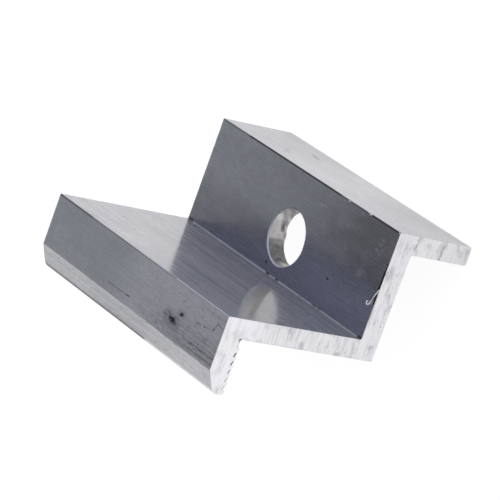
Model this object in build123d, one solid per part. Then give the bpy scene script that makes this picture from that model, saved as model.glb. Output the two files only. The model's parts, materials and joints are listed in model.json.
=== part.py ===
from build123d import *
import os

# Solar end clamp, one length sawn off a Z-shaped aluminium extrusion and drilled for its bolt.
# The lip presses on the module's frame, the riser stands beside that frame, the plate takes
# the bolt and the foot stands on the rail.
# X runs along the extrusion, +Y points at the module and +Z points up along the bolt.
# The origin lies on the bolt's axis, in the face that the bolt's head bears on.

# Sizes of the whole clamp, in millimetres
CLAMP_LENGTH = 50.0
RISER_HEIGHT = 24.4  # bolt seat to the top of the lip
FOOT_HEIGHT = 13.8  # bolt seat down to the tip of the foot
LIP_REACH = 11.8  # bolt side of the riser to the end of the nose

# Walls
LIP_WALL = 3.4  # at the floor of the grip's grooves
RISER_WALL = 3.1
PLATE_WALL = 3.3
FOOT_WALL = 3.0

# Nose, where the top of the lip slopes down to a rounded end
NOSE_TAPER_LENGTH = 3.55
NOSE_END_WALL = 2.0  # foot of the slope down to the tooth tips
NOSE_TOP_RADIUS = 1.6
NOSE_GRIP_RADIUS = 0.6

# Grip under the lip, a row of saw teeth whose steep flanks face the riser
TOOTH_PITCH = 1.31
TOOTH_HEIGHT = 0.4
TOOTH_FLANK = 0.15  # run of the steep flank
TOOTH_LAND = 0.15  # flat that is left on each tip

# Bolt hole, and the plate that is left on each side of it
BOLT_HOLE_DIAMETER = 9.0
BOLT_HOLE_BREAK = 0.2
HOLE_TO_RISER = 2.0  # wall of the hole to the bolt side of the riser
HOLE_TO_FOOT = 2.9  # wall of the hole to the rail side of the foot

# Corners of the section
LIP_CORNER_RADIUS = 0.2
LIP_ROOT_RADIUS = 0.4
SEAT_ROOT_RADIUS = 0.15
FOOT_ROOT_RADIUS = 0.5
FOOT_TIP_RADIUS = 0.4
EDGE_RADIUS = 0.2

# Places in the section, as Y and Z
hole_radius = BOLT_HOLE_DIAMETER / 2
riser_back = hole_radius + HOLE_TO_RISER
riser_front = riser_back + RISER_WALL
foot_front = -hole_radius - HOLE_TO_FOOT
foot_back = foot_front - FOOT_WALL
nose_end = riser_back + LIP_REACH
nose_taper_start = nose_end - NOSE_TAPER_LENGTH

lip_top = RISER_HEIGHT
groove_floor = lip_top - LIP_WALL
tooth_tips = groove_floor - TOOTH_HEIGHT
nose_top = tooth_tips + NOSE_END_WALL
bolt_seat = 0.0
plate_under = bolt_seat - PLATE_WALL
foot_tip = bolt_seat - FOOT_HEIGHT


def round_corners(section, corners):
    """Round the corner nearest to each point with the radius given beside it."""
    for point, radius in corners:
        section = fillet(section.vertices().sort_by_distance(point)[0], radius)
    return section


def solid_lip_section():
    """Draw the Z section with its nose, its lip still solid down to the tooth tips."""
    outline = Polyline(
        (riser_back, lip_top),
        (nose_taper_start, lip_top),
        (nose_end, nose_top),
        (nose_end, tooth_tips),
        (riser_front, tooth_tips),
        (riser_front, plate_under),
        (foot_front, plate_under),
        (foot_front, foot_tip),
        (foot_back, foot_tip),
        (foot_back, bolt_seat),
        (riser_back, bolt_seat),
        close=True,
    )
    return round_corners(
        make_face(outline),
        [
            ((nose_end, nose_top), NOSE_TOP_RADIUS),
            ((nose_end, tooth_tips), NOSE_GRIP_RADIUS),
        ],
    )


def grip_relief():
    """Lay out what is taken from under the lip: a flat at the riser, then the tooth gaps."""
    first_gap = riser_front + TOOTH_PITCH
    flat = make_face(
        Polyline(
            (riser_front, tooth_tips),
            (riser_front, groove_floor),
            (first_gap, groove_floor),
            (first_gap + TOOTH_FLANK, tooth_tips),
            close=True,
        )
    )
    ramp_run = TOOTH_PITCH - TOOTH_FLANK - TOOTH_LAND
    gap = make_face(
        Polyline(
            (-ramp_run, tooth_tips),
            (0, groove_floor),
            (TOOTH_FLANK, tooth_tips),
            close=True,
        )
    )
    toothed_length = nose_end - NOSE_GRIP_RADIUS - TOOTH_FLANK - riser_front
    gap_count = int(toothed_length / TOOTH_PITCH)
    return [flat] + [
        Pos(riser_front + TOOTH_PITCH * number, 0) * gap for number in range(2, gap_count + 1)
    ]


def clamp_section():
    """Finish the section with its teeth and its small radii."""
    return round_corners(
        solid_lip_section() - grip_relief(),
        [
            ((riser_back, lip_top), LIP_CORNER_RADIUS),
            ((riser_front, groove_floor), LIP_ROOT_RADIUS),
            ((riser_back, bolt_seat), SEAT_ROOT_RADIUS),
            ((foot_front, plate_under), FOOT_ROOT_RADIUS),
            ((foot_front, foot_tip), FOOT_TIP_RADIUS),
            ((foot_back, foot_tip), FOOT_TIP_RADIUS),
            ((foot_back, bolt_seat), EDGE_RADIUS),
            ((riser_front, plate_under), EDGE_RADIUS),
        ],
    )


def end_clamp():
    """Run the section out to the clamp's length, drill it and break the hole's rims."""
    length = extrude(Plane.YZ * clamp_section(), CLAMP_LENGTH / 2, both=True)
    bolt_hole = Cylinder(
        hole_radius,
        PLATE_WALL,
        align=(Align.CENTER, Align.CENTER, Align.MAX),
    )
    drilled = length - bolt_hole
    rims = drilled.edges().filter_by(GeomType.CIRCLE).filter_by_position(
        Axis.X, -hole_radius, hole_radius
    )
    return chamfer(rims, BOLT_HOLE_BREAK)


os.makedirs("parts", exist_ok=True)
export_step(end_clamp(), "parts/end_clamp.step")
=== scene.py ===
import json
import math

import bpy
from mathutils import Matrix, Vector, geometry, noise


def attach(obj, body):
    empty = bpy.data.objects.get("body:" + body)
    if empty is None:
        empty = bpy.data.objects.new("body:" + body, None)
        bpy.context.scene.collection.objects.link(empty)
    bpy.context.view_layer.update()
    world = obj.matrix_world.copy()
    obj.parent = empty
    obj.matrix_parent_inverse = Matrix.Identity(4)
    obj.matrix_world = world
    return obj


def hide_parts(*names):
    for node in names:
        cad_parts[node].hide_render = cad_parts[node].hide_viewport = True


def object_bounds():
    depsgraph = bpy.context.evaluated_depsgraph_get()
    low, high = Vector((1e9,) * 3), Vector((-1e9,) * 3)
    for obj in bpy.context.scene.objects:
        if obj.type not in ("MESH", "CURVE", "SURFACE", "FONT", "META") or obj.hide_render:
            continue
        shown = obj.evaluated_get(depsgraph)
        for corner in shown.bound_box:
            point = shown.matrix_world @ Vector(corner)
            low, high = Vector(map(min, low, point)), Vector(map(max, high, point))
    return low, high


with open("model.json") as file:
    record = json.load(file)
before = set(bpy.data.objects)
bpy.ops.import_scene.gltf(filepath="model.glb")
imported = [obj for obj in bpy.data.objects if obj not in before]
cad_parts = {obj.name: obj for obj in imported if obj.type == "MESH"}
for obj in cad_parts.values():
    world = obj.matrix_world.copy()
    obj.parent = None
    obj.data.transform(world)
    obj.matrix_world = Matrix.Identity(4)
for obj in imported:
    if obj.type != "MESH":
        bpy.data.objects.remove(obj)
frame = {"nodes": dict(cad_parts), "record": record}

bl_info = {
    "name": "Solar end clamp",
    "version": (1, 0, 0),
    "blender": (4, 5, 0),
    "location": "3D View > Sidebar > End clamp",
    "description": "Builds a sawn, drilled and handled aluminium end clamp around its packed frame",
    "category": "Object",
}

CAD_LOW, CAD_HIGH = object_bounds()
CAD_NODE = "end_clamp"
MM = 0.001
BOLT_HOLE = next(m for m in frame["record"]["mounts"] if m["name"] == "bolt_hole")

# Sizes of the solid that the mesh repeats, in millimetres
HOLE_BREAK = 0.2
PLATE_WALL = BOLT_HOLE["dims"]["length_mm"] + 2 * HOLE_BREAK
GROOVE_FLOOR = 21.0  # floor of the grip's grooves
TOOTH_PITCH = 1.31
RISER_FRONT = 9.6

# Shape of the mesh, in millimetres and degrees
ARC_CHORD = 0.6  # a longer edge of the solid's outline is straight on the real clamp
ARC_TURNS = (1.0, 50.0)  # a corner that turns less or more than this isn't on an arc
ARC_EVENNESS = 0.08  # edges of one arc differ less than this in length
ARC_STEP = 6.0
SHARP_TURN = 12.0
CORNER_SHARE = 0.4  # most that a rounded corner takes of the edges beside it
OUTLINE_SPACING = 0.4
BREAK_SHARE = 0.7  # of the room up to the next corner's centre, so that the break can't cross itself
BREAK_PROFILE = ((0, 1), (0.29, 0.29), (1, 0))  # shares of its width, along the clamp and into the metal
STATION_SPACING = 1.7
FIRST_STATIONS = (0.3, 0.7, 1.3)  # from each sawn end
BORE_SEGMENTS = 128
SMOOTH_ANGLE = 34.0
# Rings of the hole's cutter: height, how many widths of the break are added to it, 0 where the ring
# is as wide as the hole or 1 where it is as wide as the break, and the seed of its uneven rim
CUTTER_RINGS = (
    (-PLATE_WALL - 1, 0, 1, 2),
    (-PLATE_WALL, 0, 1, 2),
    (-PLATE_WALL, 1, 0, 2),
    (-PLATE_WALL, 4, 0, 2),
    (0, -1, 0, 1),
    (0, 0, 1, 1),
    (1, 0, 1, 1),
)
BURR_ANGLE, BURR_SPREAD = 12.0, 9.0  # of the highest burr at the lower rim, from +X
SAME_PLACE = 1e-6

# Slots of the body's materials after its skin, and how far a face's normal leans where they meet
SAWN, DRILLED = 1, 2
SAWN_LEAN = 0.3  # least share of X on a sawn face and on its break
FLAT_LEAN = 0.999  # the same on the sawn face alone
DRILLED_LEAN = 0.95  # most share of Z on the hole's wall and on its breaks


def linear(hex_colour):
    """Turn an sRGB hex colour into linear red, green and blue."""
    channels = [int(hex_colour[i:i + 2], 16) / 255 for i in (0, 2, 4)]
    return [c / 12.92 if c <= 0.04045 else ((c + 0.055) / 1.055) ** 2.4 for c in channels]


class ClampSizes(bpy.types.PropertyGroup):
    """Sizes of the saw's, the drill's and the die's work on the clamp."""

    edge_break: bpy.props.FloatProperty(
        name="Edge break",
        description="Mean width of the ragged break that the saw leaves along each end",
        default=0.07 * MM, min=0.0, max=0.3 * MM, precision=5, unit="LENGTH",
    )
    corner_round: bpy.props.FloatProperty(
        name="Corner round",
        description="Radius that the die leaves on each sharp corner of the section",
        default=0.05 * MM, min=0.0, max=0.2 * MM, precision=5, unit="LENGTH",
    )
    hole_diameter: bpy.props.FloatProperty(
        name="Bolt hole",
        description="Diameter of the bolt hole",
        default=2 * BOLT_HOLE["dims"]["r_mm"] * MM, min=2 * MM, max=12 * MM, precision=5, unit="LENGTH",
    )
    hole_break: bpy.props.FloatProperty(
        name="Hole break",
        description="Mean width of the break at the hole's two rims",
        default=HOLE_BREAK * MM, min=0.0, max=1 * MM, precision=5, unit="LENGTH",
    )
    burr: bpy.props.FloatProperty(
        name="Hole burr",
        description="Height of the burr that the drill left at the hole's lower rim",
        default=0.35 * MM, min=0.0, max=1 * MM, precision=5, unit="LENGTH",
    )
    line_spacing: bpy.props.FloatProperty(
        name="Die line spacing",
        description="Distance between the fine lines that the die draws along the metal",
        default=0.24 * MM, min=0.02 * MM, max=2 * MM, precision=5, unit="LENGTH",
    )
    saw_spacing: bpy.props.FloatProperty(
        name="Saw line spacing",
        description="Distance between the lines that the saw leaves across each end",
        default=0.22 * MM, min=0.02 * MM, max=2 * MM, precision=5, unit="LENGTH",
    )


class ClampColours(bpy.types.PropertyGroup):
    """Colours of the metal, of its marks and of the stage."""

    mill_finish: bpy.props.FloatVectorProperty(
        name="Mill finish", description="Aluminium skin as it leaves the die",
        subtype="COLOR", min=0.0, max=1.0, default=linear("D6D6D7"),
    )
    film: bpy.props.FloatVectorProperty(
        name="Film", description="Thin brown film of old cutting oil and dust",
        subtype="COLOR", min=0.0, max=1.0, default=linear("6E675C"),
    )
    fresh_cut: bpy.props.FloatVectorProperty(
        name="Fresh cut", description="Bare aluminium where the saw has been",
        subtype="COLOR", min=0.0, max=1.0, default=linear("F8F7F8"),
    )
    drilled: bpy.props.FloatVectorProperty(
        name="Drilled wall", description="Aluminium wall of the drilled hole",
        subtype="COLOR", min=0.0, max=1.0, default=linear("DEDBD8"),
    )
    # This colour also paints shade, shadow and dark reflections on the skin and on the hole's wall
    grime_and_shade: bpy.props.FloatVectorProperty(
        name="Grime", description="Grey-black aluminium dust and die grease rubbed into the skin",
        subtype="COLOR", min=0.0, max=1.0, default=linear("3A3A3E"),
    )
    # This colour also paints highlights in the corners of the skin and on the hole's rim
    dust: bpy.props.FloatVectorProperty(
        name="Dust", description="Pale dust and oxide that gather in corners",
        subtype="COLOR", min=0.0, max=1.0, default=linear("B6BCCB"),
    )
    paper: bpy.props.FloatVectorProperty(
        name="Paper", description="White paper that the clamp stands over",
        subtype="COLOR", min=0.0, max=1.0, default=linear("F4F4F4"),
    )


# Outline of the section

def end_outline():
    """Walk round the CAD solid's near end face, and give its corners in order as Y and Z in mm."""
    mesh = frame["nodes"][CAD_NODE].data
    edges = set()
    for face in mesh.polygons:
        corners = [mesh.vertices[i].co for i in face.vertices]
        if any(corner.x - CAD_LOW.x > 0.001 * MM for corner in corners):
            continue
        places = [(round(corner.y / MM, 4), round(corner.z / MM, 4)) for corner in corners]
        for edge in zip(places, places[1:] + places[:1]):
            if edge[::-1] in edges:
                edges.remove(edge[::-1])
            else:
                edges.add(edge)
    following = dict(edges)
    loop = [min(following)]
    while len(loop) < len(following):
        loop.append(following[loop[-1]])
    loop = [Vector(place) for place in loop]
    anticlockwise = sum(loop[i - 1].cross(place) for i, place in enumerate(loop)) > 0
    return loop if anticlockwise else loop[::-1]


def turn_at(loop, i):
    """Angle in degrees that a closed outline turns through at a point, anticlockwise positive."""
    before, after = loop[i] - loop[i - 1], loop[(i + 1) % len(loop)] - loop[i]
    return math.degrees(math.atan2(before.cross(after), before.dot(after)))


def circle_centre(a, b, c):
    """Centre of the circle through three points."""
    ab, ac = b - a, c - a
    along = Vector((
        ac.y * ab.length_squared - ab.y * ac.length_squared,
        ab.x * ac.length_squared - ac.x * ab.length_squared,
    ))
    return a + along / (2 * ab.cross(ac))


def arc_points(run):
    """Points along the circle that a run of points lies on, without the run's last point."""
    centre = circle_centre(run[0], run[len(run) // 2], run[-1])
    first, last = run[0] - centre, run[-1] - centre
    sweep = math.atan2(first.cross(last), first.dot(last))
    count = math.ceil(abs(math.degrees(sweep)) / ARC_STEP)
    return [centre + Matrix.Rotation(sweep * i / count, 2) @ first for i in range(count)]


def finer_arcs(loop):
    """Draw each arc of the outline, which the solid gives as a few short edges, with more points."""
    count = len(loop)
    turns = [turn_at(loop, i) for i in range(count)]

    def chord(i):
        return (loop[(i + 1) % count] - loop[i % count]).length

    def on_arc(i):
        ends = turns[i % count], turns[(i + 1) % count]
        bends = all(ARC_TURNS[0] < abs(turn) < ARC_TURNS[1] for turn in ends)
        return chord(i) < ARC_CHORD and bends and ends[0] * ends[1] > 0

    here = next(i for i in range(count) if not on_arc(i - 1))
    end = here + count
    fine = []
    while here < end:
        run, edge = [loop[here % count]], here
        while on_arc(edge) and abs(chord(edge) / chord(here) - 1) < ARC_EVENNESS:
            edge += 1
            run.append(loop[edge % count])
        fine += arc_points(run) if len(run) > 2 else run[:1]
        here += max(1, len(run) - 1)
    return fine


def rounded_corners(loop, radius):
    """Round each sharp corner that is left in the outline."""
    rounded = []
    for i, corner in enumerate(loop):
        turn = abs(turn_at(loop, i))
        if turn < SHARP_TURN:
            rounded.append(corner)
            continue
        before, after = loop[i - 1] - corner, loop[(i + 1) % len(loop)] - corner
        shorter = min(before.length, after.length)
        reach = min(radius * math.tan(math.radians(turn / 2)), CORNER_SHARE * shorter)
        start, stop = corner + before.normalized() * reach, corner + after.normalized() * reach
        for share in (0, 1 / 3, 2 / 3, 1):
            rounded.append(start * (1 - share) ** 2 + corner * 2 * share * (1 - share) + stop * share ** 2)
    return rounded


def even_spacing(loop):
    """Divide the outline's long edges."""
    spaced = []
    for i, start in enumerate(loop):
        stop = loop[(i + 1) % len(loop)]
        count = max(1, round((stop - start).length / OUTLINE_SPACING))
        spaced += [start.lerp(stop, k / count) for k in range(count)]
    return spaced


def outward(loop, i):
    """Direction out of the metal at a point of the outline."""
    before = (loop[i] - loop[i - 1]).normalized()
    after = (loop[(i + 1) % len(loop)] - loop[i]).normalized()
    mean = (before + after).normalized()
    return Vector((mean.y, -mean.x))


# Body

def unevenness(place, size, seed):
    """Smooth random number from 0 to 1 at a place in mm, with waves of a given size."""
    return 0.5 + 0.5 * noise.noise(Vector((place[0] / size, place[1] / size, seed)))


def outer_corners(loop):
    """Points where the outline bends outwards, each with the radius that it bends at."""
    corners = []
    for i, place in enumerate(loop):
        turn = turn_at(loop, i)
        if turn > ARC_TURNS[0]:
            edge = min((place - loop[i - 1]).length, (loop[(i + 1) % len(loop)] - place).length)
            corners.append((place, edge / math.radians(turn)))
    return corners


def edge_breaks(loop, mean, seed):
    """Width of the sawn edge's break at each point of the outline, in mm: narrow for the most part,
    and wide where a coarse and a fine wave are both high."""
    corners = outer_corners(loop)
    breaks = []
    for place in loop:
        coarse, fine = unevenness(place, 1.1, seed), unevenness(place, 0.35, seed + 9)
        width = mean * (0.3 + 2.0 * coarse * fine + 1.2 * fine ** 4)
        room = min(radius + (place - corner).length for corner, radius in corners)
        breaks.append(min(width, BREAK_SHARE * room))
    return breaks


def end_rings(loop, side, mean):
    """Rings of one sawn end, from the edge of its face to where its ragged break ends."""
    half = CAD_HIGH.x / MM
    breaks = edge_breaks(loop, mean, seed=3 + side)
    return [
        [
            (side * (half - width * along), *(place - outward(loop, i) * width * inward))
            for i, (place, width) in enumerate(zip(loop, breaks))
        ]
        for along, inward in BREAK_PROFILE
    ]


def clamp_rings(sizes):
    """Rings of the body from the near end to the far one, each a list of points in mm."""
    loop = even_spacing(rounded_corners(finer_arcs(end_outline()), sizes.corner_round / MM))
    near, far = (end_rings(loop, side, sizes.edge_break / MM) for side in (-1, 1))
    half = CAD_HIGH.x / MM
    middle = half - FIRST_STATIONS[-1]
    count = round(2 * middle / STATION_SPACING)
    stations = [s - half for s in FIRST_STATIONS[:-1]]
    stations += [-middle + 2 * middle * i / count for i in range(count + 1)]
    stations += [half - s for s in reversed(FIRST_STATIONS[:-1])]
    return near + [[(x, *place) for place in loop] for x in stations] + far[::-1]


def cap_triangles(ring):
    """Fill a flat ring of points with triangles, given as numbers of its points."""
    across = 0 if all(abs(point[0] - ring[0][0]) < SAME_PLACE for point in ring) else 2
    flat = [Vector([place for axis, place in enumerate(point) if axis != across]) for point in ring]
    size = len(flat)
    edges = [(i, (i + 1) % size) for i in range(size)]
    _, _, triangles, sources, _, _ = geometry.delaunay_2d_cdt(flat, edges, [], 1, SAME_PLACE)
    if not all(sources):
        raise RuntimeError("a ring of the mesh crosses itself")
    return [[sources[corner][0] for corner in triangle] for triangle in triangles]


def skinned(name, rings):
    """Make a mesh object from rings of points in mm, as a closed skin."""
    size = len(rings[0])
    points = [Vector(point) * MM for ring in rings for point in ring]
    last = len(points) - size
    faces = []
    for start in range(0, last, size):
        for here in range(size):
            after = (here + 1) % size
            faces.append((start + here, start + after, start + size + after, start + size + here))
    faces += [corners[::-1] for corners in cap_triangles(rings[0])]
    faces += [[last + i for i in corners] for corners in cap_triangles(rings[-1])]
    mesh = bpy.data.meshes.new(name)
    mesh.from_pydata(points, [], faces)
    made = bpy.data.objects.new(name, mesh)
    bpy.context.scene.collection.objects.link(made)
    return made


def hole_cutter(sizes):
    """Make the cutter of the bolt hole, with the uneven rims that a drill in the hand leaves."""
    radius, mean = sizes.hole_diameter / 2 / MM, sizes.hole_break / MM
    rings = []
    for base, breaks_up, at_break, seed in CUTTER_RINGS:
        ring = []
        for i in range(BORE_SEGMENTS):
            angle = 2 * math.pi * i / BORE_SEGMENTS
            across = Vector((math.cos(angle), math.sin(angle)))
            width = mean * (0.75 + 0.5 * unevenness(across * 3, 1.0, seed))  # within a quarter of the mean
            reach = radius + at_break * width
            if base < 0 and breaks_up < 2:
                reach -= burr_height(math.degrees(angle), across, sizes.burr / MM)
            ring.append((*(across * reach), base + breaks_up * width))
        rings.append(ring)
    return skinned("hole_cutter", rings)


def burr_height(angle, across, highest):
    """How far the lower rim stands into the hole at an angle in degrees: ragged all round, with one
    high burr."""
    peak = math.exp(-(((angle - BURR_ANGLE + 180) % 360 - 180) / BURR_SPREAD) ** 2)
    return highest * (peak + 0.3 * unevenness(across * 4, 0.8, 5) ** 2)


def drill(body, sizes):
    """Cut the bolt hole out of the body."""
    cutter = hole_cutter(sizes)
    cut = body.modifiers.new("bolt_hole", "BOOLEAN")
    cut.operation, cut.solver, cut.object = "DIFFERENCE", "EXACT", cutter
    evaluated = body.evaluated_get(bpy.context.evaluated_depsgraph_get())
    drilled = bpy.data.meshes.new_from_object(evaluated)
    body.modifiers.clear()
    body.data = drilled
    bpy.data.objects.remove(cutter)


def set_finishes(body, sizes):
    """Give each face of the body the finish of the tool that made it, and smooth what is round."""
    mesh = body.data
    rim = sizes.hole_diameter / 2 + 1.5 * sizes.hole_break  # past the widest of the break
    mesh.shade_smooth()
    mesh.set_sharp_from_angle(angle=math.radians(SMOOTH_ANGLE))
    for face in mesh.polygons:
        in_hole = face.center.xy.length < rim and CAD_LOW.z / 2 < face.center.z < CAD_HIGH.z / 2
        if in_hole and abs(face.normal.z) < DRILLED_LEAN:
            face.material_index = DRILLED
        elif not in_hole and abs(face.normal.x) > SAWN_LEAN:
            face.material_index = SAWN
            face.use_smooth = abs(face.normal.x) < FLAT_LEAN
    if not any(face.material_index == DRILLED for face in mesh.polygons):
        raise RuntimeError("the body has no bolt hole")


# Materials

SMOOTH = {"interpolation_type": "SMOOTHSTEP"}
WHITE = (1.0, 1.0, 1.0, 1.0)
FULL_WIDTH = 0.35  # share of a mark's width where it has its full strength


def fill(tree, made, sockets):
    """Fill a node's sockets, given by number or name, with values or with links."""
    for key, value in sockets.items():
        if isinstance(value, bpy.types.NodeSocket):
            tree.links.new(value, made.inputs[key])
        else:
            made.inputs[key].default_value = value


def add(tree, kind, sockets=(), out=0, **settings):
    """Add one node with its settings, fill its sockets, listed in its own order or named, and
    give one of its outputs. A node with no output is given itself."""
    made = tree.nodes.new("ShaderNode" + kind)
    for name, value in settings.items():
        setattr(made, name, value)
    fill(tree, made, sockets if isinstance(sockets, dict) else dict(enumerate(sockets)))
    return made.outputs[out] if made.outputs else made


def rgba(colour):
    """Colour as a shader's socket takes it."""
    return (*colour, 1.0)


def metal(name):
    """Start a material, and give it with its tree, its shader and the place on the surface."""
    material = bpy.data.materials.new(name)
    material.use_nodes = True
    tree = material.node_tree
    return material, tree, tree.nodes["Principled BSDF"], add(tree, "TexCoord", out="Object")


def joined(tree, operation, values):
    """Join a list of values into one, each to the next by the same operation."""
    whole = values[0]
    for value in values[1:]:
        whole = add(tree, "Math", [whole, value], operation=operation)
    return whole


def summed(tree, value, terms):
    """Add masks to a value, each times its weight."""
    for mask, weight in terms:
        value = add(tree, "Math", [mask, weight, value], operation="MULTIPLY_ADD")
    return value


def coated(tree, colour, coats):
    """Lay coats over a colour, each given as its mask and its own colour."""
    for mask, coat in coats:
        colour = add(tree, "Mix", {0: mask, 6: colour, 7: coat}, out=2, data_type="RGBA")
    return colour


def area(tree, place, fades):
    """Mask of an area of the surface, the product of fades along the axes.

    A fade is an axis, where it starts and where it ends in mm, and its two values if they aren't 0 and 1.
    """
    masks = []
    for axis, start, stop, *values in fades:
        along = add(tree, "SeparateXYZ", [place], out=axis)
        masks.append(add(tree, "MapRange", [along, start * MM, stop * MM, *values], **SMOOTH))
    return joined(tree, "MULTIPLY", masks)


def waves(tree, place, lengths, seed, levels=None, detail=2.0):
    """Noise with waves of a given length in mm along X, Y and Z.

    It runs from about 0.3 to 0.7, or is eased between two of its levels from one value to another.
    """
    scaled = add(tree, "VectorMath", [place, [1 / (length * MM) for length in lengths]], operation="MULTIPLY")
    noisy = add(
        tree, "TexNoise",
        {"Vector": scaled, "W": seed, "Scale": 1.0, "Detail": detail, "Roughness": 0.55},
        noise_dimensions="4D",
    )
    return add(tree, "MapRange", [noisy, *levels], **SMOOTH) if levels else noisy


def ragged_place(tree, place, wave, reach):
    """Place on the surface, moved about a little, so that marks drawn with it have uneven edges."""
    wobble = add(tree, "TexNoise", {"Vector": place, "Scale": 1 / (wave * MM), "Detail": 2.0}, out="Color")
    shift = add(tree, "VectorMath", [wobble, (0.5, 0.5, 0.5)], operation="SUBTRACT")
    shift = add(tree, "VectorMath", {0: shift, "Scale": reach * MM}, operation="SCALE")
    return add(tree, "VectorMath", [place, shift], operation="ADD")


def stroke(tree, place, start, stop, width, strength):
    """Mask of one mark, with its strength along its line and 0 beyond its width, in mm."""
    start, line = Vector(start), Vector(stop) - Vector(start)
    reach = add(tree, "VectorMath", [place, start * MM], operation="SUBTRACT")
    share = add(
        tree, "VectorMath", [reach, line / (line.length_squared * MM)],
        out="Value", operation="DOT_PRODUCT",
    )
    share = add(tree, "Clamp", [share])
    nearest = add(tree, "VectorMath", {0: line * MM, "Scale": share}, operation="SCALE")
    gap = add(tree, "VectorMath", [reach, nearest], out="Value", operation="DISTANCE")
    return add(tree, "MapRange", [gap, FULL_WIDTH * width * MM, width * MM, strength, 0.0], **SMOOTH)


def strokes(tree, place, marks):
    """Mask of a list of marks."""
    return joined(tree, "MAXIMUM", [stroke(tree, place, *mark) for mark in marks])


# Areas of the skin, each a list of fades along the axes, as area() takes them
ON_LIP = (("Z", 24.2, 24.38),)
ON_NOSE = (("Y", 14.6, 15.0), ("Z", 21.5, 22.5))
ON_RISER = (("Y", 6.3, 6.45), ("Z", 24.35, 24.0))
ON_PLATE = (("Z", -0.3, -0.02), ("Z", 0.3, 0.02))
ON_FOOT = (("Y", -10.2, -10.38),)
NEAR_LIP = (*ON_LIP, ("X", 2, -16))
SKIN_AREAS = {
    "lip": ON_LIP,
    "nose": ON_NOSE,
    "riser": ON_RISER,
    "plate": ON_PLATE,
    "near_lip": NEAR_LIP,
    "worn_lip": (*NEAR_LIP, ("Y", 9.5, 14.0, 0.35, 1.0)),  # the most handled, above all by the nose
    # painted shade in the corner of plate and riser, deeper towards the far end
    "plate_corner_shade": (*ON_PLATE, ("Y", -3.5, 2.5), ("X", -18, 8, 0.1, 0.26)),
    "oily_plate": (*ON_PLATE, ("X", -4.5, -15.5), ("Y", 1.5, -2.5)),
}
BRIGHTER_AREAS = (  # where the skin is made brighter: rubbed by handling on the lip's near half, and in bands on the foot and along the nose
    (*ON_LIP, ("X", 6, -4, 0.0, 0.6)),
    (*ON_FOOT, ("X", 14, 2, 0.0, 0.45), ("X", -2, -14, 1.0, 0.2)),
    (*ON_NOSE, ("X", 0, -18, 0.4, 0.9), ("X", 5, 20, 1.0, 1.625)),
)

# Marks: start, end and half width in mm, and strength
DARK_MARKS = (
    ((0.7, 13.28, 24.4), (-0.7, 13.26, 24.4), 0.15, 0.7),  # long scratch on the lip
    ((5.7, 13.32, 24.4), (0.7, 13.28, 24.4), 0.12, 0.42),
    ((-10.3, 11.95, 24.4), (-11.0, 11.9, 24.4), 0.17, 0.6),
    ((-10.9, 11.25, 24.4), (-11.4, 11.3, 24.4), 0.3, 0.22),
    ((-13.85, 8.8, 24.4), (-14.3, 8.3, 24.4), 0.15, 0.45),
    ((-18.2, 10.2, 24.4), (-19.5, 10.12, 24.4), 0.15, 0.5),
    ((-20.3, 10.0, 24.4), (-20.5, 10.05, 24.4), 0.24, 0.75),
    ((-20.6, 10.0, 24.4), (-21.7, 9.8, 24.4), 0.16, 0.25),
    ((-22.5, 9.55, 24.4), (-22.85, 9.3, 24.4), 0.24, 0.7),  # hooked rub at the near end
    ((-22.85, 9.3, 24.4), (-23.1, 8.5, 24.4), 0.2, 0.6),
    ((-23.1, 8.5, 24.4), (-24.6, 8.65, 24.4), 0.26, 0.55),
    ((-19.2, 9.0, 24.4), (-19.3, 9.05, 24.4), 0.17, 0.35),
    ((-16.4, 13.4, 24.4), (-16.3, 12.6, 24.4), 0.12, 0.38),
    ((-16.3, 12.6, 24.4), (-15.8, 12.4, 24.4), 0.12, 0.38),
    ((-16.3, 12.6, 24.4), (-16.6, 11.8, 24.4), 0.12, 0.25),
    ((-25.0, 14.15, 24.4), (-18.0, 14.15, 24.4), 0.16, 0.5),  # the die's pick-up streaks
    ((-18.0, 14.15, 24.4), (-11.0, 14.1, 24.4), 0.15, 0.32),
    ((-25.0, 13.35, 24.4), (-17.0, 13.35, 24.4), 0.14, 0.4),
    ((-25.0, 12.0, 24.4), (-14.0, 12.0, 24.4), 0.13, 0.18),
    ((-20.6, 11.4, 24.4), (-22.0, 11.35, 24.4), 0.15, 0.32),
    ((-19.5, 7.5, 24.4), (-25.0, 7.5, 24.4), 0.25, 0.2),
    ((2.56, 5.0, 0.0), (2.5, 5.1, 0.0), 0.34, 1.0),  # specks beside the hole
    ((-12.6, 1.68, 0.0), (-12.85, 1.75, 0.0), 0.24, 1.0),
    ((-17.2, 6.5, 18.4), (-17.5, 6.5, 18.2), 0.5, 0.25),  # specks on the riser
    ((-16.0, 6.5, 18.9), (-16.2, 6.5, 18.8), 0.3, 0.25),
    ((12.6, -10.4, -9.45), (10.4, -10.4, -8.9), 0.65, 0.3),  # rubs on the foot
    ((13.2, -10.4, -4.7), (11.2, -10.4, -3.4), 0.6, 0.18),
    ((-14.2, -10.4, -4.5), (-14.5, -10.4, -4.8), 0.35, 0.3),
    ((-18.0, -10.4, -4.4), (-18.8, -10.4, -4.8), 0.6, 0.2),
)
SCRATCHES_AND_GLINT = (  # where the skin is scratched bright, with one painted glint
    # painted glint at the edge of plate and foot
    ((-16.8, -10.2, 0.0), (-17.3, -10.3, 0.0), 0.22, 0.35),
    ((-4.3, 4.9, 0.0), (-4.8, 4.85, 0.0), 0.25, 0.2),
    ((-16.6, 15.6, 24.0), (-16.5, 17.2, 23.2), 0.13, 0.6),  # scratch down the nose
    ((-19.0, 6.5, 9.6), (-20.0, 6.5, 10.3), 0.2, 0.4),
    ((-18.9, 6.5, 7.2), (-20.0, 6.5, 7.9), 0.2, 0.4),
)
SMUDGES = (  # soft clouds of two black smudges on the lip
    ((-11.2, 12.0, 24.4), (-13.6, 12.3, 24.4), 1.7, 0.26),
    ((-13.6, 10.7, 24.4), (-14.8, 10.5, 24.4), 0.9, 0.2),
)
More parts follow.
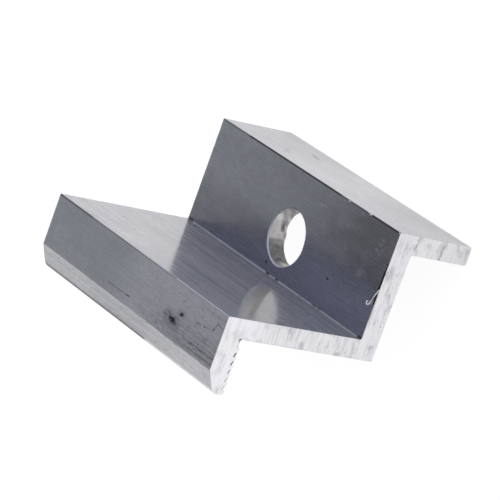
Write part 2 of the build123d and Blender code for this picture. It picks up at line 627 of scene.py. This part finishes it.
SMUDGE_CORES = (  # the same smudges' streaked cores
    ((-11.2, 11.3, 24.4), (-12.1, 11.9, 24.4), 0.3, 0.6),
    ((-11.9, 12.0, 24.4), (-12.9, 12.1, 24.4), 0.62, 1.0),
    ((-12.4, 12.4, 24.4), (-13.6, 12.3, 24.4), 0.5, 0.75),
    ((-13.0, 11.5, 24.4), (-13.3, 11.8, 24.4), 0.3, 0.5),
    ((-14.0, 10.65, 24.4), (-14.6, 10.5, 24.4), 0.42, 1.0),
)
EDGE_SHADE = (  # painted shade, shadow and dark reflections along the edges and in the corners
    ((25.0, 6.52, 24.37), (15.2, 6.52, 24.37), 0.32, 0.62),  # painted dark reflection along the corner of riser and lip
    ((15.2, 6.52, 24.37), (-10.0, 6.52, 24.37), 0.25, 0.4),
    ((25.0, 6.4, 0.05), (23.8, 6.4, 0.05), 0.5, 0.6),  # painted shade at the ends of the corner of plate and riser
    ((-24.1, 6.4, 0.05), (-25.0, 6.4, 0.05), 0.42, 0.75),
    ((1.5, 6.42, 0.08), (1.0, 6.42, 0.08), 0.32, 0.75),  # painted shade between the painted highlights in that corner
    ((-1.2, 6.42, 0.08), (-1.5, 6.42, 0.08), 0.3, 0.8),
    ((-8.1, 6.42, 0.08), (-8.4, 6.42, 0.08), 0.26, 0.6),
    ((-11.7, 6.42, 0.08), (-12.2, 6.42, 0.08), 0.3, 0.75),
    ((-13.1, 6.42, 0.08), (-13.5, 6.42, 0.08), 0.28, 0.7),
    ((25.0, -10.34, -0.02), (17.0, -10.34, -0.02), 0.25, 0.5),  # painted dark reflection along the corner of plate and foot
    ((17.0, -10.34, -0.02), (-9.0, -10.34, -0.02), 0.26, 0.9),
    ((-9.0, -10.34, -0.02), (-16.0, -10.34, -0.02), 0.22, 0.6),
    ((-17.5, -10.34, -0.02), (-24.8, -10.34, -0.02), 0.26, 0.85),
    ((24.9, 15.0, 24.3), (24.9, 18.1, 22.6), 0.22, 0.6),  # darker along the far edge of the nose
    ((-24.76, -5.4, 0.0), (-24.8, -4.1, 0.0), 0.24, 0.95),  # painted shadow in the gap under the lifted burr
    ((-24.74, -3.8, 0.0), (-24.74, -2.2, 0.0), 0.32, 1.0),
    ((-24.74, -1.8, 0.0), (-24.72, -0.9, 0.0), 0.36, 1.0),
    ((-24.74, -0.4, 0.0), (-24.78, 0.9, 0.0), 0.3, 1.0),
)
DUST_SPECKS = (  # lint and dust on the plate
    ((-5.3, -7.3, 0.0), (-5.8, -7.4, 0.0), 0.25, 0.4),
    ((-5.9, -7.5, 0.0), (-6.6, -7.45, 0.0), 0.22, 0.45),
    ((-6.6, -7.5, 0.0), (-6.8, -8.0, 0.0), 0.22, 0.4),
    ((-13.5, -4.5, 0.0), (-14.4, -3.75, 0.0), 0.22, 0.5),
    ((-15.0, -9.3, 0.0), (-15.35, -9.85, 0.0), 0.24, 0.5),
    ((-21.0, -6.35, 0.0), (-21.3, -6.25, 0.0), 0.32, 0.8),
    ((-21.4, -7.1, 0.0), (-22.0, -8.1, 0.0), 0.5, 0.3),
    ((-22.0, -5.9, 0.0), (-22.6, -6.8, 0.0), 0.5, 0.34),
    ((-18.8, -1.4, 0.0), (-19.8, -2.2, 0.0), 0.8, 0.2),
)
HIGHLIGHT_LINES = (  # painted highlights along the corner of plate and riser, and along the near part of the lip's corner
    ((23.4, 6.42, 0.08), (16.6, 6.42, 0.08), 0.15, 0.4),
    ((15.8, 6.42, 0.08), (2.0, 6.42, 0.08), 0.2, 0.5),
    ((0.2, 6.42, 0.08), (-0.8, 6.42, 0.08), 0.2, 0.42),
    ((-2.1, 6.42, 0.08), (-9.0, 6.42, 0.08), 0.17, 0.4),
    ((-9.8, 6.42, 0.08), (-20.8, 6.42, 0.08), 0.15, 0.34),
    ((-12.5, 6.53, 24.36), (-15.2, 6.53, 24.36), 0.12, 0.3),
    ((-15.8, 6.53, 24.36), (-19.0, 6.53, 24.36), 0.14, 0.6),
    ((-20.1, 6.53, 24.36), (-22.6, 6.53, 24.36), 0.12, 0.3),
    ((-23.3, 6.53, 24.36), (-24.95, 6.53, 24.36), 0.15, 0.7),
)
NOSE_SHADOW = (  # painted contact shadow along the nose's round
    ((26.0, 18.08, 22.5), (9.0, 18.08, 22.5), 0.95, 0.85),
    ((9.0, 18.08, 22.52), (-5.0, 18.1, 22.5), 0.98, 0.8),
)


def skin_marks(tree, place):
    """Masks of the grime and of painted shade, of the bright scratches and a painted glint, and of the dust
    and painted highlights on the skin.
    """
    ragged = ragged_place(tree, place, 0.5, 0.22)
    patchy = waves(tree, place, (1.4, 0.5, 0.5), 7.0, levels=(0.38, 0.56, 0.45, 1.0))
    grain = waves(tree, place, (0.4, 0.25, 0.25), 6.0, levels=(0.34, 0.5, 0.5, 1.0))
    lint = waves(tree, place, (0.3, 0.3, 0.3), 15.0, levels=(0.42, 0.6))
    # Grime, with the painted shade, shadow and dark reflections along the edges, in the corners and on the
    # nose
    grime_and_shade = joined(tree, "MAXIMUM", [
        joined(tree, "MULTIPLY", [strokes(tree, ragged, DARK_MARKS), patchy]),
        joined(tree, "MULTIPLY", [strokes(tree, ragged, SMUDGE_CORES), grain]),
        strokes(tree, ragged, SMUDGES),
        strokes(tree, ragged, NOSE_SHADOW),
        strokes(tree, place, EDGE_SHADE),
    ])
    # Dust, with the painted highlights along the corners
    dust = joined(tree, "MAXIMUM", [
        strokes(tree, place, HIGHLIGHT_LINES),
        joined(tree, "MULTIPLY", [strokes(tree, ragged, DUST_SPECKS), lint]),
    ])
    return grime_and_shade, strokes(tree, ragged, SCRATCHES_AND_GLINT), dust


def skin_colour(tree, place, drawn, cloud, on, colours):
    """Colour of the skin without its marks: bright where it is rubbed on the lip and brightened in bands on
    the foot and the nose, greyed by the die's lines, by speckle and by short scores, a little darker on the
    riser, darkened by painted shade in the corner of plate and riser, and browned where hands and oil have
    been."""
    line = add(tree, "MapRange", [drawn, 0.36, 0.64, 1.0, 0.0], **SMOOTH)
    scored = joined(tree, "ADD", [
        on["worn_lip"],
        add(tree, "MapRange", [on["nose"], 0.0, 1.0, 0.12, 0.48], **SMOOTH),
    ])
    scores = waves(tree, place, (1.6, 0.1, 0.1), 4.0, levels=(0.52, 0.65))
    # The shade starts with the painted shade in the corner of plate and riser
    shade = summed(tree, on["plate_corner_shade"], [
        (line, summed(tree, 0.05, [(on["worn_lip"], 0.15)])),
        (joined(tree, "MULTIPLY", [scores, scored]), 0.5),
        (waves(tree, place, (60, 1.5, 1.5), 2.0, levels=(0.35, 0.65)), 0.03),
        (add(tree, "MapRange", [cloud, 0.35, 0.65], **SMOOTH), 0.05),
        (waves(tree, place, (0.45, 0.3, 0.3), 8.0, levels=(0.35, 0.65)), 0.1),
        (on["riser"], 0.05),
    ])
    # Brighter where rubbed on the lip, and in bands on the foot and the nose
    rubbed = joined(tree, "MAXIMUM", [area(tree, place, fades) for fades in BRIGHTER_AREAS])
    handled = joined(tree, "MAXIMUM", [
        joined(tree, "MULTIPLY", [on["worn_lip"], 0.18]),
        joined(tree, "MULTIPLY", [on["nose"], 0.05]),
    ])
    patches = waves(tree, place, (2.2, 1.2, 1.2), 10.0, levels=(0.46, 0.6, 0.0, 0.08))
    oil = add(tree, "MapRange", [cloud, 0.3, 0.62, 0.168, 0.42], **SMOOTH)
    film = rgba(colours.film)
    return coated(tree, rgba(colours.mill_finish), [
        (rubbed, rgba(colours.fresh_cut)),
        (shade, rgba(colours.grime_and_shade)),
        (handled, film),
        (joined(tree, "MULTIPLY", [patches, on["plate"]]), film),
        (joined(tree, "MULTIPLY", [oil, on["oily_plate"]]), film),
    ])


def skin_gloss(tree, place, drawn, cloud, on, grime_and_shade, scratches_and_glint):
    """Roughness of the skin: half glossy, with a haze over it, and duller where it is marked."""
    # Between the smooth lines lie rough ones, finer than the picture shows. They are drawn 0.008 mm
    # wide, as they are, so that the smooth and the rough blend to a clear mirror image with a haze.
    finest = summed(tree, waves(tree, place, (20, 0.008, 0.008), 9.3, detail=0.0), [(on["riser"], 0.07)])
    haze = add(tree, "MapRange", [finest, 0.61, 0.64, 0.0, 0.55], **SMOOTH)
    smooth = summed(tree, add(tree, "MapRange", [cloud, 0.3, 0.7, 0.17, 0.21], **SMOOTH), [
        (add(tree, "MapRange", [drawn, 0.46, 0.62], **SMOOTH), 0.02),
        (on["riser"], -0.065),
    ])
    return summed(tree, joined(tree, "MAXIMUM", [smooth, haze]), [
        (on["lip"], 0.1),
        (on["worn_lip"], 0.14),
        (grime_and_shade, 0.25),
        (scratches_and_glint, 0.25),
    ])


def mill_finish_skin(sizes, colours):
    """6063 aluminium as extruded: bright and half glossy, drawn into fine lines along its length,
    with pick-up streaks, handling marks, grey-black smudges, and painted shade, shadow, dark reflections and
    highlights along its edges and in its corners."""
    material, tree, shader, place = metal("mill_finish_aluminium_extruded")
    # The die's real lines are some 0.05 mm apart, and are drawn coarser, at the size that is set
    spacing = sizes.line_spacing / MM
    drawn = waves(tree, place, (50, spacing, spacing), 1.0, detail=3.0)
    cloud = waves(tree, place, (8, 4, 4), 3.0)
    on = {name: area(tree, place, fades) for name, fades in SKIN_AREAS.items()}
    grime_and_shade, scratches_and_glint, dust = skin_marks(tree, place)
    colour = coated(tree, skin_colour(tree, place, drawn, cloud, on, colours), [
        (grime_and_shade, rgba(colours.grime_and_shade)),
        (scratches_and_glint, rgba(colours.fresh_cut)),
        (dust, rgba(colours.dust)),
    ])
    # The riser is smoother than the rest
    height = joined(tree, "MULTIPLY", [drawn, summed(tree, 1.0, [(on["riser"], -0.7)])])
    # Dust lies on the riser and near the lip's end, and veils what they mirror
    veil = summed(tree, 0.0, [(on["riser"], 0.16), (on["near_lip"], 0.06)])
    veil = joined(tree, "MAXIMUM", [veil, dust])
    fill(tree, shader, {
        "Base Color": colour,
        "Metallic": joined(tree, "SUBTRACT", [1.0, veil]),
        "Roughness": skin_gloss(tree, place, drawn, cloud, on, grime_and_shade, scratches_and_glint),
        "Normal": add(tree, "Bump", {"Height": height, "Strength": 1.0, "Distance": 0.001 * MM}),
        # The lines run along X and spread each reflection across themselves
        "Tangent": add(
            tree, "VectorTransform", [(1.0, 0.0, 0.0)],
            vector_type="VECTOR", convert_from="OBJECT", convert_to="WORLD",
        ),
        "Anisotropic": 0.75,
        "Anisotropic Rotation": 0.25,
    })
    return material


END_MARKS = [  # torn spots and dark lines on the near sawn end
    ((-25, 9.6, 21.1), (-25, 9.75, 21.12), 0.28, 1.0),
    ((-25, 9.7, 21.06), (-25, 10.85, 21.04), 0.2, 0.6),
    ((-25, 10.6, 21.04), (-25, 10.85, 21.04), 0.26, 0.8),
    ((-25, 9.55, 20.9), (-25, 9.55, 8.0), 0.12, 0.42),
    ((-25, 9.55, 8.0), (-25, 9.55, -3.0), 0.1, 0.3),
    ((-25, 9.2, 20.0), (-25, 9.45, 20.1), 0.2, 0.3),
    ((-25, 9.3, 18.2), (-25, 9.45, 18.3), 0.2, 0.35),
    ((-25, -10.3, -3.6), (-25, -9.4, -3.8), 0.16, 0.6),
    ((-25, -9.4, -3.8), (-25, -8.3, -3.5), 0.22, 0.6),
    ((-25, -8.9, -3.0), (-25, -8.3, -2.6), 0.5, 0.25),
    ((-25, -9.0, -1.9), (-25, -8.3, -2.1), 0.4, 0.35),
    ((-25, -9.6, -2.4), (-25, -8.9, -2.7), 0.2, 0.25),
    ((-25, -10.3, -8.9), (-25, -9.5, -8.9), 0.3, 0.45),
    ((-25, -9.5, -8.8), (-25, -8.7, -8.5), 0.32, 0.55),
    ((-25, -8.6, -8.7), (-25, -7.6, -8.5), 0.24, 0.6),
    ((-25, -9.6, -8.1), (-25, -8.9, -7.8), 0.7, 0.28),
    ((-25, 4.1, -2.5), (-25, 4.2, -2.55), 0.17, 0.6),
    ((-25, 3.4, -2.95), (-25, 3.3, -2.9), 0.15, 0.45),
    ((-25, -9.9, -13.0), (-25, -7.9, -13.2), 0.13, 0.35),
]
TOOTH_MARKS = [  # dark spots at the root of each tooth gap, darker towards the riser
    (
        (-25, RISER_FRONT + TOOTH_PITCH * gap - 0.05, GROOVE_FLOOR + 0.1),
        (-25, RISER_FRONT + TOOTH_PITCH * gap - 0.42, GROOVE_FLOOR - 0.05),
        0.25, 1.25 - 0.16 * gap,
    )
    for gap in range(2, 7)
]


def saw_cut_end(sizes, colours):
    """Aluminium cut by a circular saw: bare, bright and matt, with fine lines across it,
    scattered flecks and a few torn spots."""
    material, tree, shader, place = metal("saw_cut_aluminium")
    # The saw's real lines are some 0.1 mm apart, and are drawn coarser, at the size that is set
    lines = waves(tree, place, (1, 5.0, sizes.saw_spacing / MM), 11.0, detail=3.0)
    flecks = waves(tree, place, (1, 0.6, 0.2), 12.0)
    cloud = waves(tree, place, (1, 2.6, 1.5), 13.0)
    rough = summed(tree, 0.0, [
        (add(tree, "MapRange", [lines, 0.48, 0.7], **SMOOTH), area(tree, place, [("Z", -2, -5, 0.27, 0.1)])),
        (add(tree, "MapRange", [flecks, 0.6, 0.72], **SMOOTH), 0.45),
        (add(tree, "MapRange", [cloud, 0.5, 0.72], **SMOOTH), 0.26),
    ])
    # Below the lip the end is darker, and its lines and flecks are stronger
    shade = summed(tree, area(tree, place, [("Z", 22, 12, 0.0, 0.09)]), [
        (rough, area(tree, place, [("Z", 21, 8, 0.62, 1.0)])),
    ])
    grain = waves(tree, place, (1, 0.3, 0.2), 14.0, levels=(0.36, 0.56, 0.4, 1.0))
    darkened = strokes(tree, ragged_place(tree, place, 0.6, 0.5), END_MARKS)
    marks = joined(tree, "MAXIMUM", [
        joined(tree, "MULTIPLY", [darkened, grain]),
        strokes(tree, place, TOOTH_MARKS),
    ])
    shade = joined(tree, "MAXIMUM", [shade, marks])
    height = summed(tree, lines, [(flecks, 0.5), (marks, -1.0)])
    fill(tree, shader, {
        "Base Color": coated(tree, rgba(colours.fresh_cut), [(shade, rgba(colours.grime_and_shade))]),
        "Metallic": 1.0,
        "Roughness": add(tree, "MapRange", [cloud, 0.3, 0.7, 0.38, 0.5], **SMOOTH),
        "Normal": add(tree, "Bump", {"Height": height, "Strength": 1.0, "Distance": 0.015 * MM}),
    })
    return material


BORE_SHADE = (  # painted shade on the wall of the hole, in streaks along it, towards its top and its lower side
    ((1.4, -4.28, -0.2), (2.9, -3.44, -3.3), 1.6, 0.56),
    ((3.3, -3.05, -0.2), (3.75, -2.5, -3.3), 1.0, 0.5),
    ((4.02, -2.0, -1.9), (4.42, -0.8, -2.4), 0.75, 0.42),
    ((4.46, -0.6, -2.3), (4.5, 0.15, -2.5), 0.5, 0.62),
    ((4.08, 1.9, -0.3), (4.05, 1.95, -3.3), 0.5, 0.36),
    ((3.7, 2.6, -0.3), (3.6, 2.7, -3.3), 0.85, 0.42),
    ((2.9, 3.45, -0.3), (2.8, 3.5, -3.3), 1.0, 0.5),
    ((1.85, 4.1, 0.0), (1.6, 4.2, -3.3), 1.0, 0.54),
    ((0.8, 4.42, -0.3), (0.7, 4.44, -1.2), 0.8, 0.45),
)


def drilled_wall(colours):
    """Aluminium as a twist drill leaves it: bright, in faint rings and streaks,
    with painted shade in streaks on its wall and a painted highlight on the break at its upper rim."""
    material, tree, shader, place = metal("drilled_aluminium")
    rings = waves(tree, place, (5, 5, 0.4), 21.0)
    tears = waves(tree, place, (0.8, 0.8, 0.9), 22.0, detail=3.0)
    # painted shade in streaks on the wall
    darkened = strokes(tree, ragged_place(tree, place, 0.7, 0.45), BORE_SHADE)
    shade = summed(tree, 0.0, [
        (add(tree, "MapRange", [rings, 0.4, 0.65], **SMOOTH), 0.07),
        (add(tree, "MapRange", [tears, 0.42, 0.62], **SMOOTH), 0.07),
        (darkened, add(tree, "MapRange", [tears, 0.36, 0.6, 0.78, 1.12], **SMOOTH)),
    ])
    fill(tree, shader, {
        "Base Color": coated(tree, rgba(colours.drilled), [
            (shade, rgba(colours.grime_and_shade)),
            # painted highlight on the break at the hole's upper rim, in the dust colour
            (area(tree, place, [("Z", -0.3, -0.12)]), rgba(colours.dust)),
        ]),
        "Metallic": 1.0,
        "Roughness": add(tree, "MapRange", [tears, 0.3, 0.7, 0.22, 0.4], **SMOOTH),
        "Normal": add(tree, "Bump", {"Height": rings, "Strength": 1.0, "Distance": 0.012 * MM}),
    })
    return material


def swarf_metal(colours):
    """Fresh aluminium swarf: crinkled, and the brightest metal here, almost white to the eye."""
    material, tree, shader, place = metal("aluminium_swarf")
    crinkle = waves(tree, place, (0.12, 0.12, 0.12), 31.0)
    shade = add(tree, "MapRange", [crinkle, 0.4, 0.7, 0.0, 0.1], **SMOOTH)
    fill(tree, shader, {
        "Base Color": coated(tree, rgba(colours.fresh_cut), [(shade, rgba(colours.grime_and_shade))]),
        # Its countless facets, too fine to draw, scatter light as white paint would
        "Metallic": 0.1,
        "Roughness": 0.45,
        "Normal": add(tree, "Bump", {"Height": crinkle, "Strength": 1.0, "Distance": 0.02 * MM}),
    })
    return material


# Stage

# Camera in mm, on its side as it was held, and its lens
CAMERA_PLACE = (-424.237, -110.603, 333.472)
CAMERA_RIGHT = (-0.51921, -0.33274, -0.78722)
CAMERA_UP = (0.36223, -0.91995, 0.14993)
CAMERA_LENS = 262.8
ROOM = "D8D9DC"  # colour that the room's walls light the clamp with
# Dim parts of the room: direction, half angles where each is full and where it ends, colour
DIM_PATCHES = (
    ((0.74, -0.05, 0.67), 16, 42, "A3A6AE"),
    ((0.76, -0.24, 0.61), 8, 19, "5A6292"),
    ((0.68, 0.10, 0.73), 6, 12, "2C2E36"),
)
FLOOR_REACH = 4000.0
FLOOR_GAP = 0.2
FLOOR_GLOW = 1.19  # lights the paper until it is as white as the photograph's ground
FLOOR_MATT = 0.25  # share of the paper that takes the clamp's shadow
MIRRORED_TINT = (0.985, 0.985, 1.015, 1.0)  # of the floor as the metal shows it
SHADED_FLOOR = 0.64  # brightness of the floor under the clamp, as the metal shows it
SHADE_EDGE = (-5, 4)  # where that shade ends, beyond the clamp's footprint
CLAMP_FOOTPRINT = (("X", 0, 25), ("Y", 2, 12))  # axis, middle and half width


def studio_camera():
    """Set the camera where the photograph was taken from."""
    data = bpy.data.cameras.new("camera")
    data.lens, data.sensor_width = CAMERA_LENS, 36.0
    data.clip_start, data.clip_end = 0.01, 20.0
    camera = bpy.data.objects.new("camera", data)
    bpy.context.scene.collection.objects.link(camera)
    right, up = Vector(CAMERA_RIGHT), Vector(CAMERA_UP)
    turned = Matrix((right, up, right.cross(up))).transposed().to_4x4()
    camera.matrix_world = Matrix.Translation(Vector(CAMERA_PLACE) * MM) @ turned
    bpy.context.scene.camera = camera


def studio_light():
    """Light the clamp from a bright room with a few dim parts, up and behind it."""
    world = bpy.data.worlds.new("studio")
    world.use_nodes = True
    tree = world.node_tree
    tree.nodes.clear()
    looking = add(tree, "TexCoord", out="Generated")
    patches = []
    for direction, inner, outer, colour in DIM_PATCHES:
        towards = add(
            tree, "VectorMath", [looking, Vector(direction).normalized()],
            out="Value", operation="DOT_PRODUCT",
        )
        edge, core = math.cos(math.radians(outer)), math.cos(math.radians(inner))
        patches.append((add(tree, "MapRange", [towards, edge, core], **SMOOTH), rgba(linear(colour))))
    behind = joined(tree, "MAXIMUM", [
        add(tree, "LightPath", out="Is Camera Ray"),
        add(tree, "LightPath", out="Is Transmission Ray"),
    ])
    seen = coated(tree, rgba(linear(ROOM)), [*patches, (behind, WHITE)])
    background = add(tree, "Background", {"Color": seen, "Strength": 1.0})
    add(tree, "OutputWorld", {"Surface": background}).is_active_output = True
    bpy.context.scene.world = world


def mirrored_floor(tree):
    """Floor as the metal mirrors it: dim near the clamp, which shades it, and white further out."""
    place = add(tree, "TexCoord", out="Object")
    beyond = []
    for axis, middle, half in CLAMP_FOOTPRINT:
        along = add(tree, "SeparateXYZ", [place], out=axis)
        away = add(tree, "Math", [along, middle * MM], operation="SUBTRACT")
        away = add(tree, "Math", [away], operation="ABSOLUTE")
        beyond.append(add(tree, "Math", [away, half * MM], operation="SUBTRACT"))
    # The open floor is brighter past the clamp's two ends
    open_floor = joined(tree, "ADD", [
        area(tree, place, [("X", -20, -45, 0.88, 1.02)]),
        area(tree, place, [("X", 36, 62, 0.0, 0.1)]),
    ])
    start, stop = (edge * MM for edge in SHADE_EDGE)
    levels = [joined(tree, "MAXIMUM", beyond), start, stop, SHADED_FLOOR, open_floor]
    brightness = add(tree, "MapRange", levels, **SMOOTH)
    return add(tree, "Emission", {"Color": MIRRORED_TINT, "Strength": brightness})


def paper_floor(colours):
    """Matt white paper, lit until it is as white as the photograph's ground, with a faint shadow."""
    material = bpy.data.materials.new("white_paper")
    material.use_nodes = True
    tree = material.node_tree
    tree.nodes.clear()
    matt = add(tree, "BsdfDiffuse", {"Color": rgba(colours.paper)})
    glow = add(tree, "Emission", {"Color": WHITE, "Strength": FLOOR_GLOW})
    ground = add(tree, "MixShader", [FLOOR_MATT, glow, matt])
    paper = add(tree, "MixShader", [add(tree, "LightPath", out="Is Camera Ray"), matt, ground])
    shiny = joined(tree, "MAXIMUM", [
        add(tree, "LightPath", out="Is Glossy Ray"),
        add(tree, "LightPath", out="Is Transmission Ray"),
    ])
    add(tree, "OutputMaterial", {"Surface": add(tree, "MixShader", [shiny, paper, mirrored_floor(tree)])})
    return material


class CLAMP_OT_body(bpy.types.Operator):
    """Build the clamp's body and dress it"""

    bl_idname = "clamp.body"
    bl_label = "Build the body"

    def execute(self, context):
        sizes, colours = context.scene.clamp_sizes, context.scene.clamp_colours
        body = skinned("clamp_body", clamp_rings(sizes))
        drill(body, sizes)
        body.data.materials.append(mill_finish_skin(sizes, colours))
        body.data.materials.append(saw_cut_end(sizes, colours))
        body.data.materials.append(drilled_wall(colours))
        set_finishes(body, sizes)
        body.modifiers.new("flat_faces", "WEIGHTED_NORMAL").keep_sharp = True
        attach(body, "root")
        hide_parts(CAD_NODE)
        return {"FINISHED"}


# Swarf: radius of a thread's round edges, half the width between them, and the threads' routes in mm
SWARF_ROUND, SWARF_FLAT = 0.06, 0.04
SWARF_THREADS = (
    (
        (-24.88, -1.4, 0.0), (-24.78, -0.9, 0.16), (-24.6, -0.3, 0.22), (-24.35, 0.25, 0.2),
        (-24.2, 0.75, 0.16), (-24.1, 1.1, 0.2), (-23.85, 1.4, 0.24), (-23.45, 1.4, 0.24),
        (-23.3, 1.1, 0.2), (-23.45, 0.9, 0.14),
    ),
    ((-11.2, -10.27, 0.0), (-11.4, -10.25, 0.1), (-11.6, -10.25, 0.06)),
    ((-17.0, -10.28, -0.02), (-17.15, -10.27, 0.01), (-17.3, -10.28, -0.02)),
    ((-24.6, -10.28, -0.02), (-24.75, -10.27, 0.01), (-24.88, -10.28, -0.02)),
)


def swarf_curve():
    """Draw the threads of swarf, each thicker and more twisted towards its loose end."""
    data = bpy.data.curves.new("swarf", "CURVE")
    data.dimensions, data.bevel_depth, data.extrude = "3D", SWARF_ROUND * MM, SWARF_FLAT * MM
    data.bevel_resolution, data.use_fill_caps, data.resolution_u = 2, True, 6
    for places in SWARF_THREADS:
        line = data.splines.new("NURBS")
        line.points.add(len(places) - 1)
        for i, (point, place) in enumerate(zip(line.points, places)):
            point.co = (*(Vector(place) * MM), 1.0)
            point.radius = 0.75 + 0.5 * i / len(places)
            point.tilt = 0.7 * i
        line.order_u, line.use_endpoint_u = 3, True
    drawn = bpy.data.objects.new("swarf", data)
    bpy.context.scene.collection.objects.link(drawn)
    return drawn


class CLAMP_OT_swarf(bpy.types.Operator):
    """Build the swarf that hangs from the sawn edge of the plate and stands on the foot's edge"""

    bl_idname = "clamp.swarf"
    bl_label = "Build the swarf"

    def execute(self, context):
        drawn = swarf_curve()
        mesh = bpy.data.meshes.new_from_object(drawn.evaluated_get(context.evaluated_depsgraph_get()))
        bpy.data.objects.remove(drawn)
        if not mesh.polygons:
            raise RuntimeError("the swarf came out with no surface")
        thread = bpy.data.objects.new("swarf_thread", mesh)
        context.scene.collection.objects.link(thread)
        mesh.materials.clear()
        mesh.materials.append(swarf_metal(context.scene.clamp_colours))
        mesh.shade_smooth()
        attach(thread, "root")
        return {"FINISHED"}


class CLAMP_OT_stage(bpy.types.Operator):
    """Set up the floor, the light and the camera"""

    bl_idname = "clamp.stage"
    bl_label = "Set the stage"

    def execute(self, context):
        reach, level = FLOOR_REACH * MM, CAD_LOW.z - FLOOR_GAP * MM
        corners = [(x * reach, y * reach, level) for x, y in ((-1, -1), (1, -1), (1, 1), (-1, 1))]
        mesh = bpy.data.meshes.new("floor")
        mesh.from_pydata(corners, [], [(0, 1, 2, 3)])
        mesh.materials.append(paper_floor(context.scene.clamp_colours))
        floor = bpy.data.objects.new("floor", mesh)
        context.scene.collection.objects.link(floor)
        studio_light()
        studio_camera()
        context.scene.view_settings.view_transform = "Standard"
        return {"FINISHED"}


class CLAMP_PT_panel(bpy.types.Panel):
    """Panel with the clamp's sizes, colours and building steps"""

    bl_idname = "CLAMP_PT_panel"
    bl_label = "End clamp"
    bl_space_type = "VIEW_3D"
    bl_region_type = "UI"
    bl_category = "End clamp"

    def draw(self, context):
        for group in (context.scene.clamp_sizes, context.scene.clamp_colours):
            box = self.layout.box()
            for name in group.__annotations__:
                box.prop(group, name)
        for operator in (CLAMP_OT_body, CLAMP_OT_swarf, CLAMP_OT_stage):
            self.layout.operator(operator.bl_idname)


CLASSES = (ClampSizes, ClampColours, CLAMP_OT_body, CLAMP_OT_swarf, CLAMP_OT_stage, CLAMP_PT_panel)


def register():
    for made in CLASSES:
        bpy.utils.register_class(made)
    bpy.types.Scene.clamp_sizes = bpy.props.PointerProperty(type=ClampSizes)
    bpy.types.Scene.clamp_colours = bpy.props.PointerProperty(type=ClampColours)


def unregister():
    del bpy.types.Scene.clamp_colours
    del bpy.types.Scene.clamp_sizes
    for made in reversed(CLASSES):
        bpy.utils.unregister_class(made)


def main():
    """Build everything in order."""
    register()
    bpy.ops.clamp.body()
    bpy.ops.clamp.swarf()
    bpy.ops.clamp.stage()


if __name__ == "__main__":
    main()
